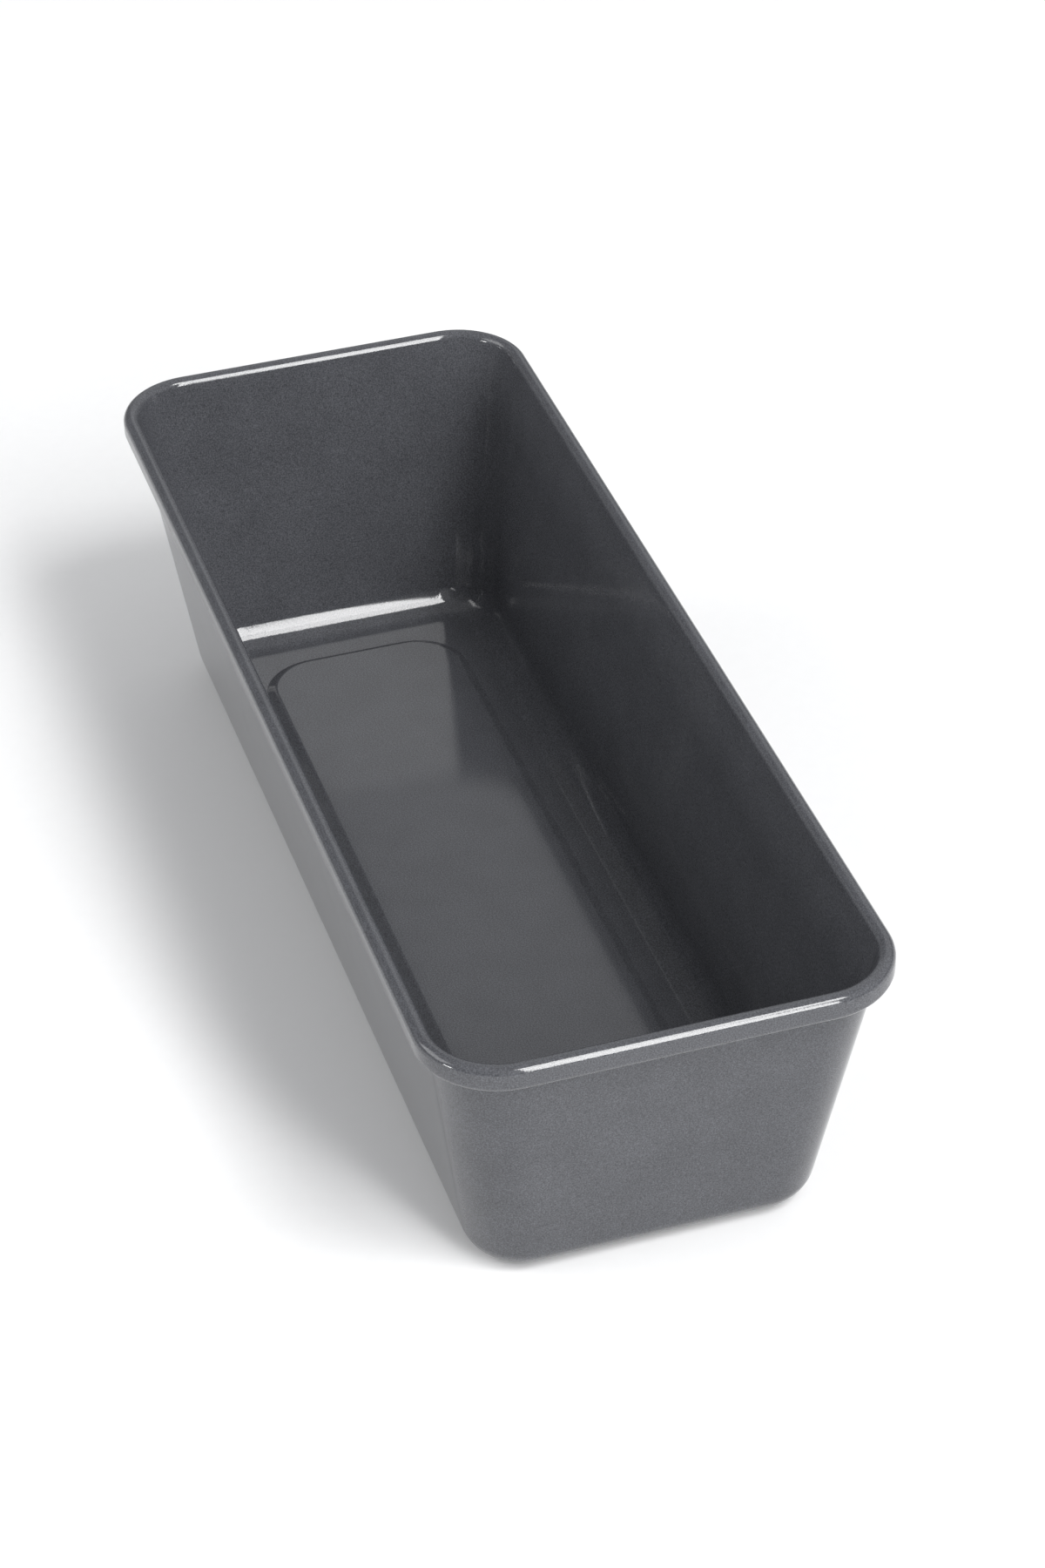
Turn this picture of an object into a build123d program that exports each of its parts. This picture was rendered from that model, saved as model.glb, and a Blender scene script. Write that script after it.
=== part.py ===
from build123d import *
import os
from math import atan2, tan

# A 30 cm loaf pan, deep-drawn from sheet steel and coated all over with vitreous enamel.
#
# The pan is three solids, one for each layer of its wall: the steel pressing, and the enamel
# that is fired onto each of its two faces. All three run from the raised panel in the middle of
# the base, across the rest of the base, round the base radius, up the leaning walls and over the
# rim, which is rolled outwards, down, and back in under itself until its lip nearly meets the
# wall.
#
# Millimetres, +Z up. The origin is the middle of the base, at the height of the table that the
# pan stands on. X runs along the pan and Y across it.

os.makedirs("parts", exist_ok=True)

# Layers of the wall
steel_thickness = 0.70
enamel_thickness = 0.18
wall_thickness = steel_thickness + 2 * enamel_thickness

# How deep each face lies, measured from the outer face of the pan towards its inside
outer_face = 0.0
steel_outer_face = enamel_thickness
steel_inner_face = enamel_thickness + steel_thickness
inner_face = wall_thickness

# Rolled rim: its centre line is a rounded rectangle, and its section is an upright oblong
rim_length = 300.0
rim_width = 105.7
rim_corner_radius = 17.6
rim_center_height = 73.65
roll_radius = 2.0
roll_drop = 2.4  # straight part of the roll's outer side
lip_angle = 33.0  # degrees that the roll turns back in, past the lowest point of its section
lip_cap_angle = 6.0  # degrees of enamel over the raw edge of the lip

# Walls, on the outer face: the foot, before the base radius is put on, and the top
base_length = 265.5
base_width = 82.0
base_corner_radius = 13.8
base_radius = 9.4
rim_overhang = roll_radius - wall_thickness  # from the outer face of the wall to the rim's line
top_length = rim_length - 2 * rim_overhang
top_width = rim_width - 2 * rim_overhang
top_corner_radius = rim_corner_radius - rim_overhang
top_height = rim_center_height + roll_drop / 2

# Raised panel in the base, on the outer face
panel_length = 231.8
panel_width = 50.2
panel_corner_radius = 12.0
panel_rise = 1.3
panel_step_width = 2.4
panel_foot_radius = 0.9
panel_edge_radius = 0.9
panel_step_angle = atan2(panel_rise, panel_step_width)


def between(foot, top, height):
    """A size at a height on the walls, which are straight from foot to top."""
    return foot + (top - foot) * height / top_height


def wall_outline(depth, height):
    """Length, width and corner radius of the pan at a height, on the face at a depth."""
    length = between(base_length, top_length, height) - 2 * depth
    width = between(base_width, top_width, height) - 2 * depth
    corner_radius = between(base_corner_radius, top_corner_radius, height) - depth
    return length, width, corner_radius


def panel_outline(depth, step):
    """Length, width and corner radius of the panel a step out from its edge, at a depth."""
    margin = step + depth * tan(panel_step_angle / 2)
    return panel_length + 2 * margin, panel_width + 2 * margin, panel_corner_radius + margin


def form(depth):
    """The solid that just fills the pan, up to the roll, within the face at a depth."""
    with BuildPart() as body:
        for height in (depth, top_height):
            with BuildSketch(Plane.XY.offset(height)):
                RectangleRounded(*wall_outline(depth, height))
        loft(ruled=True)
        base = body.faces().sort_by(Axis.Z)[0]
        fillet(base.edges(), base_radius - depth)
        with BuildSketch(Plane.XY.offset(depth)):
            RectangleRounded(*panel_outline(depth, panel_step_width))
        with BuildSketch(Plane.XY.offset(depth + panel_rise)):
            RectangleRounded(*panel_outline(depth, 0))
        loft(ruled=True, mode=Mode.SUBTRACT)
        base = body.faces().sort_by(Axis.Z)[0]
        fillet(base.inner_wires()[0].edges(), panel_foot_radius + wall_thickness - depth)
        panel = body.faces().filter_by(Axis.Z).sort_by(Axis.Z)[1]
        fillet(panel.edges(), panel_edge_radius + depth)
    return body.part


def face_radius(depth):
    """Radius of the roll on the face at a depth; the inner face is on the outside of the roll."""
    return roll_radius - wall_thickness + depth


def lower_arc(depth, start_angle, turn):
    """Arc round the roll's lower centre, on the face at a depth."""
    return CenterArc((0, -roll_drop / 2), face_radius(depth), start_angle, turn)


def roll_edge(depth):
    """The face at a depth, in section, from the top of the wall round to the lip."""
    over = CenterArc((0, roll_drop / 2), face_radius(depth), 180, -180)
    under = lower_arc(depth, 0, -90 - lip_angle)
    Line(over @ 1, under @ 0)
    return over @ 0, under @ 1


def roll_section(shallow, deep):
    """Section of the roll between the faces at two depths."""
    with BuildSketch() as section:
        with BuildLine():
            shallow_top, shallow_lip = roll_edge(shallow)
            deep_top, deep_lip = roll_edge(deep)
            Line(shallow_top, deep_top)
            Line(shallow_lip, deep_lip)
        make_face()
    return section.sketch


def lip_cap_section():
    """Section of the enamel over the raw edge of the lip, which joins the two coats."""
    with BuildSketch() as section:
        with BuildLine():
            shallow = lower_arc(outer_face, -90 - lip_angle, -lip_cap_angle)
            deep = lower_arc(inner_face, -90 - lip_angle, -lip_cap_angle)
            Line(shallow @ 0, deep @ 0)
            Line(shallow @ 1, deep @ 1)
        make_face()
    return section.sketch


# Path of the rim, and the plane across it where the sections of the roll are drawn
with BuildSketch(Plane.XY.offset(rim_center_height)) as rim_outline:
    RectangleRounded(rim_length, rim_width, rim_corner_radius)
rim_path = rim_outline.sketch.face().outer_wire()
rim_direction = rim_path % 0
rim_outward = rim_direction.cross(Vector(0, 0, 1))
rim_plane = Plane(rim_path @ 0, x_dir=rim_outward, z_dir=-rim_direction)

# Steel pressing: the sheet between the two coats, with its edge rolled into the rim
with BuildPart() as pressed_steel_shell:
    add(form(steel_outer_face))
    add(form(steel_inner_face), mode=Mode.SUBTRACT)
    with BuildSketch(rim_plane):
        add(roll_section(steel_outer_face, steel_inner_face))
    sweep(path=rim_path)

# Enamel on the food side: base, walls, the visible outside of the roll, and the lip's raw edge
with BuildPart() as inner_face_enamel:
    add(form(steel_inner_face))
    add(form(inner_face), mode=Mode.SUBTRACT)
    with BuildSketch(rim_plane):
        add(roll_section(steel_inner_face, inner_face))
        add(lip_cap_section())
    sweep(path=rim_path)

# Enamel on the outside: underneath the base, up the walls, and round the hollow of the roll
with BuildPart() as outer_face_enamel:
    add(form(outer_face))
    add(form(steel_outer_face), mode=Mode.SUBTRACT)
    with BuildSketch(rim_plane):
        add(roll_section(outer_face, steel_outer_face))
    sweep(path=rim_path)

pressed_steel_shell.part.label = "pressed_steel_shell"
export_step(pressed_steel_shell.part, "parts/pressed_steel_shell.step")
inner_face_enamel.part.label = "inner_face_enamel"
export_step(inner_face_enamel.part, "parts/inner_face_enamel.step")
outer_face_enamel.part.label = "outer_face_enamel"
export_step(outer_face_enamel.part, "parts/outer_face_enamel.step")
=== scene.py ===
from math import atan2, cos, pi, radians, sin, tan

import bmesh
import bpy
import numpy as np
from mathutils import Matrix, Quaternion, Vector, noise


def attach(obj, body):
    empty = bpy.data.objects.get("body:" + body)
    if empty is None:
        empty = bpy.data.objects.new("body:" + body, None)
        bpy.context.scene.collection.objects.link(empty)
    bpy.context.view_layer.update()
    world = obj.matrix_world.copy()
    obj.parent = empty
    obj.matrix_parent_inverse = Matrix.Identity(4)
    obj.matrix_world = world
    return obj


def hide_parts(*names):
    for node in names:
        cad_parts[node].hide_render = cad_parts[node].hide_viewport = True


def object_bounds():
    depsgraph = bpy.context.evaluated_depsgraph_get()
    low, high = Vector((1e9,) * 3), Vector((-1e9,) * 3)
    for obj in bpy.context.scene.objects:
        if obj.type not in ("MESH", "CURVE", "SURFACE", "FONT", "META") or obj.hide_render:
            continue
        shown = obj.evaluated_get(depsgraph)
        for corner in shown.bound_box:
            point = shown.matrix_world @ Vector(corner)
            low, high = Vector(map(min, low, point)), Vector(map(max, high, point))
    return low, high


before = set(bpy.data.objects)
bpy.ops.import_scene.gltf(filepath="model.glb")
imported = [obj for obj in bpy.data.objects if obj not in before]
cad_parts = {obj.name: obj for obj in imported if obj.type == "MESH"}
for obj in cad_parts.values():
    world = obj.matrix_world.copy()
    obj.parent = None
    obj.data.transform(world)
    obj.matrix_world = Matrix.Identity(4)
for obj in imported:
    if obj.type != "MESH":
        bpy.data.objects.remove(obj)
cad_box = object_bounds()

# The looks of an enamelled steel loaf pan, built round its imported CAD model.
#
# The steel pressing is the CAD node, with a rolled-sheet material. The two coats of enamel are
# closed quad meshes, made here from the same profile as the CAD coats that they stand for, with
# the slight unevenness of fired enamel over drawn sheet. Metres, in the frame of the CAD model.

# Layers of the wall. A face's depth is measured from the pan's outer face towards its inside.
STEEL = 0.00070
ENAMEL = 0.00018
WALL = STEEL + 2 * ENAMEL

# Rolled rim. Its section is an upright oblong, open underneath where the lip turns back in.
ROLL_RADIUS = 0.0020
ROLL_DROP = 0.0024
RIM_CORNER_RADIUS = 0.0176
LIP_ANGLE = radians(33)
LIP_CAP_ANGLE = radians(6)

# Foot of the walls, on the outer face, and the base radius
BASE_LENGTH = 0.2655
BASE_WIDTH = 0.0820
BASE_CORNER_RADIUS = 0.0138
BASE_RADIUS = 0.0094

# Raised panel in the base
PANEL_LENGTH = 0.2318
PANEL_WIDTH = 0.0502
PANEL_CORNER_RADIUS = 0.012
PANEL_RISE = 0.0013
PANEL_STEP = 0.0024
PANEL_FOOT_RADIUS = 0.0009
PANEL_EDGE_RADIUS = 0.0009

# Sizes that follow from the frame and the sizes above
rim_size = cad_box[1] - cad_box[0]
rim_length = rim_size.x - 2 * ROLL_RADIUS
rim_width = rim_size.y - 2 * ROLL_RADIUS
roll_bottom = rim_size.z - ROLL_RADIUS - ROLL_DROP
roll_top = rim_size.z - ROLL_RADIUS
rim_overhang = ROLL_RADIUS - WALL

# Unevenness of the enamelled faces: how far they stray, and over what distance. Without a seed the
# noise that makes it starts from the clock, and each run would differ.
WAVES = ((0.000015, 0.030), (0.000005, 0.008))
WAVE_SEED = 1
noise.seed_set(WAVE_SEED)

# Points round the pan
CORNER_STEPS = 26
LONG_SIDE_STEPS = 100
SHORT_SIDE_STEPS = 34

# Rows of points on each part of a face. The faces that show have them at a finer detail.
PANEL_ROWS = 4
PANEL_BEND_ROWS = 3
MARGIN_ROWS = 2
BASE_RADIUS_ROWS = 9
WALL_ROWS = 12
ROLL_OVER_ROWS = 11
ROLL_UNDER_ROWS = 9
LIP_CAP_ROWS = 3
SHOWN_DETAIL = 2
HIDDEN_DETAIL = 1

# Two coats of the same enamel
INNER_COLOUR = (0.073, 0.075, 0.083)
INNER_GLOSS = 0.5
OUTER_COLOUR = (0.077, 0.079, 0.087)
OUTER_GLOSS = 0.25

# Grain of the enamel: its spacing, the depth of its bumps, and how dark and light the speckles are
SPECKLE_SPACING = 0.00034
SPECKLE_DEPTH = 0.000008
SPECKLE_DARK = 0.66
SPECKLE_LIGHT = 1.42
CLOUD_SPACING = 0.012
PEEL_SPACING = 0.0011
PEEL_DEPTH = 0.000006

# Lines of the rolled steel sheet: how many to the metre along the sheet and across it
SHEET_LINES = (60, 2600, 2600)
SHEET_LINE_DEPTH = 0.000003

# Colour sockets of a Mix node, by their number
MIX_FIRST = 6
MIX_SECOND = 7
MIX_RESULT = 2


def points_round():
    """For each point round the pan, its place in the rectangle that joins the centres of the
    corners, from -1 to 1 each way, and its outward direction."""
    corners = ((1, 1), (-1, 1), (-1, -1), (1, -1))
    places = []
    outwards = []
    for quarter, corner in enumerate(corners):
        for step in range(CORNER_STEPS + 1):
            turn = (quarter + step / CORNER_STEPS) * pi / 2
            places.append(corner)
            outwards.append((cos(turn), sin(turn)))
        steps = SHORT_SIDE_STEPS if quarter % 2 else LONG_SIDE_STEPS
        for step in range(1, steps):
            share = step / steps
            following = corners[(quarter + 1) % 4]
            places.append([a + (b - a) * share for a, b in zip(corner, following)])
            outwards.append(outwards[-1])
    return np.array(places), np.array(outwards)


PLACES, OUTWARDS = points_round()


def outline(length, width, corner_radius):
    """Points round a rounded rectangle."""
    return PLACES * (np.array([length, width]) / 2 - corner_radius) + OUTWARDS * corner_radius


def outward(distance):
    """A distance outwards at each point round the pan: one number, or one for each point."""
    return OUTWARDS * np.reshape(distance, (-1, 1))


def row(points, height):
    """A row of points round the pan at a height: one number, or one for each point."""
    return np.column_stack([points, np.broadcast_to(height, len(points))])


def blend_rows(first, last, steps):
    """Rows in even steps from one row to another, both included."""
    return [first + (last - first) * share for share in np.linspace(0, 1, steps + 1)]


rim_line = outline(rim_length, rim_width, RIM_CORNER_RADIUS)
wall_foot = outline(BASE_LENGTH, BASE_WIDTH, BASE_CORNER_RADIUS)
wall_top = rim_line - outward(rim_overhang)
wall_lean = np.arctan(((wall_top - wall_foot) * OUTWARDS).sum(1) / roll_top)


def panel_row(step_out, height):
    """Row round the raised panel, a step out from its edge."""
    length = PANEL_LENGTH + 2 * step_out
    width = PANEL_WIDTH + 2 * step_out
    return row(outline(length, width, PANEL_CORNER_RADIUS + step_out), height)


def panel_rows(depth, detail):
    """Rows of the base's middle: the panel, its rounded edge, and the step down to its foot."""
    slope = atan2(PANEL_RISE, PANEL_STEP)
    edge_start = -PANEL_EDGE_RADIUS * tan(slope / 2)
    foot_end = PANEL_STEP + (PANEL_FOOT_RADIUS + WALL) * tan(slope / 2)
    edge_radius = PANEL_EDGE_RADIUS + depth
    foot_radius = PANEL_FOOT_RADIUS + WALL - depth
    panel_height = depth + PANEL_RISE
    middle = row(PLACES * [(PANEL_LENGTH - PANEL_WIDTH) / 2, 0], panel_height)
    rows = blend_rows(middle, panel_row(edge_start, panel_height), PANEL_ROWS * detail)
    for turn in np.linspace(0, slope, PANEL_BEND_ROWS * detail + 1)[1:]:
        out = edge_start + edge_radius * sin(turn)
        rows.append(panel_row(out, panel_height - edge_radius * (1 - cos(turn))))
    for turn in np.linspace(slope, 0, PANEL_BEND_ROWS * detail + 1):
        out = foot_end - foot_radius * sin(turn)
        rows.append(panel_row(out, depth + foot_radius * (1 - cos(turn))))
    return rows


def base_radius_rows(depth, detail):
    """Rows of the fillet between the base and the walls."""
    radius = BASE_RADIUS - depth
    end_height = depth + radius * (1 - np.sin(wall_lean))
    wall = wall_foot + (wall_top - wall_foot) * (end_height / roll_top)[:, None]
    centre = wall - outward(depth + radius * np.cos(wall_lean))
    rows = []
    for share in np.linspace(0, 1, BASE_RADIUS_ROWS * detail + 1):
        turn = share * (pi / 2 - wall_lean)
        rows.append(row(centre + outward(radius * np.sin(turn)), depth + radius * (1 - np.cos(turn))))
    return rows


def roll_row(radius, centre_height, turn):
    """Row on the roll, at an angle up from its outer side: one angle, or one for each point."""
    points = rim_line + outward(radius * np.cos(turn))
    return row(points, centre_height + radius * np.sin(turn))


def roll_rows(depth, detail):
    """Rows from the top of the wall over the roll, down its outer side, and under to the lip."""
    radius = ROLL_RADIUS - WALL + depth
    over = np.linspace(1, 0, ROLL_OVER_ROWS * detail + 1)
    under = np.linspace(0, -pi / 2 - LIP_ANGLE, ROLL_UNDER_ROWS * detail + 1)
    rows = [roll_row(radius, roll_top, (pi - wall_lean) * share) for share in over]
    return rows + [roll_row(radius, roll_bottom, turn) for turn in under]


def face_rows(depth, detail):
    """Rows of a whole face of the pan, from the middle of its base to its lip."""
    rows = panel_rows(depth, detail)
    fillet = base_radius_rows(depth, detail)
    rows += blend_rows(rows[-1], fillet[0], MARGIN_ROWS * detail)[1:-1]
    rows += fillet
    roll = roll_rows(depth, detail)
    rows += blend_rows(fillet[-1], roll[0], WALL_ROWS * detail)[1:-1]
    return rows + roll


def lip_cap_rows(detail):
    """Rows of the rounded bead of enamel over the raw edge of the lip, outer side first."""
    rows = []
    for swing in np.linspace(0, pi, LIP_CAP_ROWS * detail + 1)[1:-1]:
        radius = ROLL_RADIUS - WALL / 2 * (1 - cos(swing))
        turn = -pi / 2 - LIP_ANGLE - LIP_CAP_ANGLE * sin(swing)
        rows.append(roll_row(radius, roll_bottom, turn))
    return rows


def roughened(points):
    """The points, moved by the slight waves of fired enamel over drawn sheet."""
    moved = points.copy()
    for height, spacing in WAVES:
        moved += [height * noise.noise_vector(Vector(point) / spacing) for point in points]
    return moved


def mesh_object(name, rows):
    """Closed mesh through rows of points round the pan. The first row and the last are folded
    along the middle of the base, and close there."""
    around = len(PLACES)
    points = roughened(np.concatenate(rows))
    faces = []
    for first in range(0, (len(rows) - 1) * around, around):
        for step in range(around):
            following = (step + 1) % around
            faces.append((first + step, first + following,
                          first + around + following, first + around + step))
    mesh = bpy.data.meshes.new(name)
    mesh.from_pydata(points.tolist(), [], faces)
    shape = bmesh.new()
    shape.from_mesh(mesh)
    shape.verts.ensure_lookup_table()
    folds = shape.verts[:around] + shape.verts[-around:]
    bmesh.ops.remove_doubles(shape, verts=folds, dist=1e-7)
    bmesh.ops.recalc_face_normals(shape, faces=shape.faces)
    shape.to_mesh(mesh)
    shape.free()
    mesh.polygons.foreach_set("use_smooth", [True] * len(mesh.polygons))
    made = bpy.data.objects.new(name, mesh)
    bpy.context.scene.collection.objects.link(made)
    return made


def inner_coat():
    """Enamel on the food side, out over the roll, and round the raw edge of its lip."""
    shown = face_rows(WALL, SHOWN_DETAIL)
    hidden = face_rows(ENAMEL + STEEL, HIDDEN_DETAIL)
    cap = lip_cap_rows(SHOWN_DETAIL)
    return mesh_object("inner_enamel_coat", shown + cap + hidden[::-1])


def outer_coat():
    """Enamel on the outside, and round the hollow of the roll."""
    shown = face_rows(0.0, SHOWN_DETAIL)
    hidden = face_rows(ENAMEL, HIDDEN_DETAIL)
    return mesh_object("outer_enamel_coat", shown + hidden[::-1])


class Nodes:
    """A new material's node tree, with short calls that add nodes and join them."""

    def __init__(self, name):
        self.material = bpy.data.materials.new(name)
        self.material.use_nodes = True
        self.tree = self.material.node_tree
        self.shader = self.tree.nodes["Principled BSDF"]

    def add(self, kind, settings=(), **inputs):
        """A node of a kind, with its settings, and its inputs linked or set."""
        node = self.tree.nodes.new(kind)
        for name, value in dict(settings).items():
            setattr(node, name, value)
        for name, value in inputs.items():
            self.put(node, name.replace("_", " "), value)
        return node

    def put(self, node, name, value):
        """Sets an input of a node, or links it to a socket."""
        if isinstance(value, bpy.types.NodeSocket):
            self.tree.links.new(value, node.inputs[name])
        else:
            node.inputs[name].default_value = value

    def noise(self, spacing, detail=2.0):
        """Noise with grains about a distance apart, in metres, fixed to the object."""
        place = self.add("ShaderNodeTexCoord").outputs["Object"]
        grain = self.add("ShaderNodeTexNoise", Vector=place, Scale=1 / spacing, Detail=detail)
        return grain.outputs["Fac"]

    def ramp(self, value, *stops):
        """A value turned into a colour or grey, by stops of place and colour."""
        node = self.add("ShaderNodeValToRGB", Fac=value)
        while len(node.color_ramp.elements) < len(stops):
            node.color_ramp.elements.new(0.5)
        for element, (place, colour) in zip(node.color_ramp.elements, stops):
            element.position = place
            element.color = (*colour, 1.0)
        return node.outputs["Color"]

    def scaled(self, value, low, high, low_to, high_to):
        """A value, with one range stretched over another."""
        node = self.add("ShaderNodeMapRange", Value=value)
        for name, setting in zip(("From Min", "From Max", "To Min", "To Max"),
                                 (low, high, low_to, high_to)):
            node.inputs[name].default_value = setting
        return node.outputs["Result"]

    def bump(self, height, depth, under=None):
        """Bumps of a depth in metres, over any other bumps."""
        node = self.add("ShaderNodeBump", Height=height, Distance=depth, Strength=1.0)
        if under is not None:
            self.put(node, "Normal", under)
        return node.outputs["Normal"]


def tinted(colour, factor):
    """A colour made lighter or darker."""
    return [part * factor for part in colour]


def enamel_material(name, colour, gloss):
    """Glossy dark enamel: fine mottled speckle, broad cloudiness, and orange peel."""
    nodes = Nodes(name)
    speckle = nodes.noise(SPECKLE_SPACING, detail=1.0)
    cloud = nodes.noise(CLOUD_SPACING, detail=3.0)
    dark = tinted(colour, SPECKLE_DARK)
    light = tinted(colour, SPECKLE_LIGHT)
    mottle = nodes.ramp(speckle, (0.30, dark), (0.5, colour), (0.70, light))
    shade = nodes.ramp(cloud, (0.35, (0.95, 0.95, 0.95)), (0.65, (1.05, 1.05, 1.05)))
    mixed = nodes.add("ShaderNodeMix", {"data_type": "RGBA", "blend_type": "MULTIPLY"})
    mixed.inputs["Factor"].default_value = 1.0
    nodes.put(mixed, MIX_FIRST, mottle)
    nodes.put(mixed, MIX_SECOND, shade)
    nodes.put(nodes.shader, "Base Color", mixed.outputs[MIX_RESULT])
    nodes.put(nodes.shader, "Roughness", nodes.scaled(cloud, 0.3, 0.7, 0.06, 0.09))
    peel = nodes.bump(nodes.noise(PEEL_SPACING), PEEL_DEPTH)
    pits = nodes.bump(speckle, SPECKLE_DEPTH, under=peel)
    nodes.put(nodes.shader, "Normal", pits)
    nodes.put(nodes.shader, "IOR", 1.5)
    nodes.put(nodes.shader, "Specular IOR Level", gloss)
    return nodes.material


def steel_material():
    """Cold-rolled sheet: fine lines along the sheet, cloudy gloss."""
    nodes = Nodes("rolled_steel_sheet")
    place = nodes.add("ShaderNodeTexCoord").outputs["Object"]
    stretch = nodes.add("ShaderNodeMapping", Vector=place)
    stretch.inputs["Scale"].default_value = SHEET_LINES
    lines = nodes.add("ShaderNodeTexNoise", Vector=stretch.outputs["Vector"], Scale=1.0, Detail=3.0)
    tone = nodes.ramp(lines.outputs["Fac"], (0.3, (0.36, 0.36, 0.37)), (0.7, (0.48, 0.48, 0.49)))
    nodes.put(nodes.shader, "Base Color", tone)
    nodes.put(nodes.shader, "Metallic", 1.0)
    nodes.put(nodes.shader, "Roughness", nodes.scaled(nodes.noise(0.02), 0.3, 0.7, 0.28, 0.42))
    nodes.put(nodes.shader, "Normal", nodes.bump(lines.outputs["Fac"], SHEET_LINE_DEPTH))
    return nodes.material


def floor_material():
    """Matt pale studio floor, with a very fine grain."""
    nodes = Nodes("pale_studio_floor")
    tone = nodes.ramp(nodes.noise(0.004), (0.3, (0.94, 0.94, 0.94)), (0.7, (0.95, 0.95, 0.95)))
    nodes.put(nodes.shader, "Base Color", tone)
    nodes.put(nodes.shader, "Roughness", 0.9)
    nodes.put(nodes.shader, "Specular IOR Level", 0.2)
    return nodes.material


# The pieces
inner = inner_coat()
inner.data.materials.append(enamel_material("inner_enamel", INNER_COLOUR, INNER_GLOSS))
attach(inner, "root")
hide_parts("inner_face_enamel")

outer = outer_coat()
outer.data.materials.append(enamel_material("outer_enamel", OUTER_COLOUR, OUTER_GLOSS))
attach(outer, "root")
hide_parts("outer_face_enamel")

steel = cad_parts["pressed_steel_shell"]
steel.data.materials.clear()
steel.data.materials.append(steel_material())

# Floor
FLOOR_SIZE = 12.0
FLOOR_GAP = 0.00002
bpy.ops.mesh.primitive_plane_add(size=FLOOR_SIZE, location=(0, 0, cad_box[0].z - FLOOR_GAP))
floor = bpy.context.object
floor.name = "studio_floor"
floor.data.materials.append(floor_material())


# Light
LIGHT_AIM = Vector((0.0, 0.0, 0.03))


def area_light(name, place, size, radiance):
    """Rectangular soft light on the pan: where it is, its sides, and how bright it looks."""
    light = bpy.data.lights.new(name, "AREA")
    light.shape = "RECTANGLE"
    light.size = size[0]
    light.size_y = size[1]
    light.energy = radiance * pi * size[0] * size[1]
    holder = bpy.data.objects.new(name, light)
    bpy.context.scene.collection.objects.link(holder)
    holder.location = place
    holder.rotation_euler = (LIGHT_AIM - Vector(place)).to_track_quat("-Z", "Y").to_euler()
    return holder


area_light("high_key", (1.41, 0.73, 2.30), (0.9, 0.9), 15.0)
area_light("front_strip", (2.09, 0.58, 1.16), (0.40, 1.64), 17.0)
area_light("left_fill", (-0.60, -2.18, 1.61), (1.8, 1.3), 2.7)
area_light("left_glint", (0.60, -2.30, 0.40), (0.45, 0.30), 26.0)


# Studio walls: how bright they are, by the sine of the angle up from the horizon, and their
# colour
WALL_TONES = ((0.28, 0.30), (0.36, 0.72), (0.76, 0.72), (0.86, 0.45))
WALL_COLOUR = (0.97, 0.98, 1.0)

# Black screens behind the pan and in front of it, both to its left: the direction of each one's
# middle, and the cosines of the angles from there where it starts and where it is fully dark
BLACK_SCREENS = (((-0.754, -0.230, 0.616), 0.905, 0.950), ((0.583, -0.694, 0.423), 0.780, 0.900))
SCREEN_TONE = 0.2


def studio_world():
    """Pale walls round the studio, darker near the floor, overhead, and at the black screens."""
    world = bpy.data.worlds.new("studio")
    world.use_nodes = True
    tree = world.node_tree
    background = tree.nodes["Background"]
    place = tree.nodes.new("ShaderNodeTexCoord")
    parts = tree.nodes.new("ShaderNodeSeparateXYZ")
    ramp = tree.nodes.new("ShaderNodeValToRGB")
    while len(ramp.color_ramp.elements) < len(WALL_TONES):
        ramp.color_ramp.elements.new(0.5)
    for element, (height, tone) in zip(ramp.color_ramp.elements, WALL_TONES):
        element.position = height
        element.color = (*tinted(WALL_COLOUR, tone), 1.0)
    strength = tree.nodes.new("ShaderNodeMath")
    strength.operation = "MULTIPLY"
    for socket, (middle, outside, inside) in zip(strength.inputs, BLACK_SCREENS):
        facing = tree.nodes.new("ShaderNodeVectorMath")
        facing.operation = "DOT_PRODUCT"
        facing.inputs[1].default_value = middle
        dimmer = tree.nodes.new("ShaderNodeMapRange")
        dimmer.inputs["From Min"].default_value = outside
        dimmer.inputs["From Max"].default_value = inside
        dimmer.inputs["To Min"].default_value = 1.0
        dimmer.inputs["To Max"].default_value = SCREEN_TONE
        tree.links.new(place.outputs["Generated"], facing.inputs[0])
        tree.links.new(facing.outputs["Value"], dimmer.inputs["Value"])
        tree.links.new(dimmer.outputs["Result"], socket)
    tree.links.new(strength.outputs["Value"], background.inputs["Strength"])
    tree.links.new(place.outputs["Generated"], parts.inputs["Vector"])
    tree.links.new(parts.outputs["Z"], ramp.inputs["Fac"])
    tree.links.new(ramp.outputs["Color"], background.inputs["Color"])
    return world


bpy.context.scene.world = studio_world()
bpy.context.scene.view_settings.view_transform = "Standard"

# Camera
CAMERA_PLACE = Vector((0.81680, -0.23374, 0.65748))
CAMERA_AIM = Vector((0.00615, 0.00940, 0.04))
CAMERA_ROLL = radians(1.555)
LENS = 98.19

camera_data = bpy.data.cameras.new("camera")
camera_data.lens = LENS
camera_data.clip_start = 0.01
camera = bpy.data.objects.new("camera", camera_data)
bpy.context.scene.collection.objects.link(camera)
level = (CAMERA_AIM - CAMERA_PLACE).to_track_quat("-Z", "Y")
camera.location = CAMERA_PLACE
camera.rotation_euler = (level @ Quaternion((0, 0, 1), -CAMERA_ROLL)).to_euler()
bpy.context.scene.camera = camera
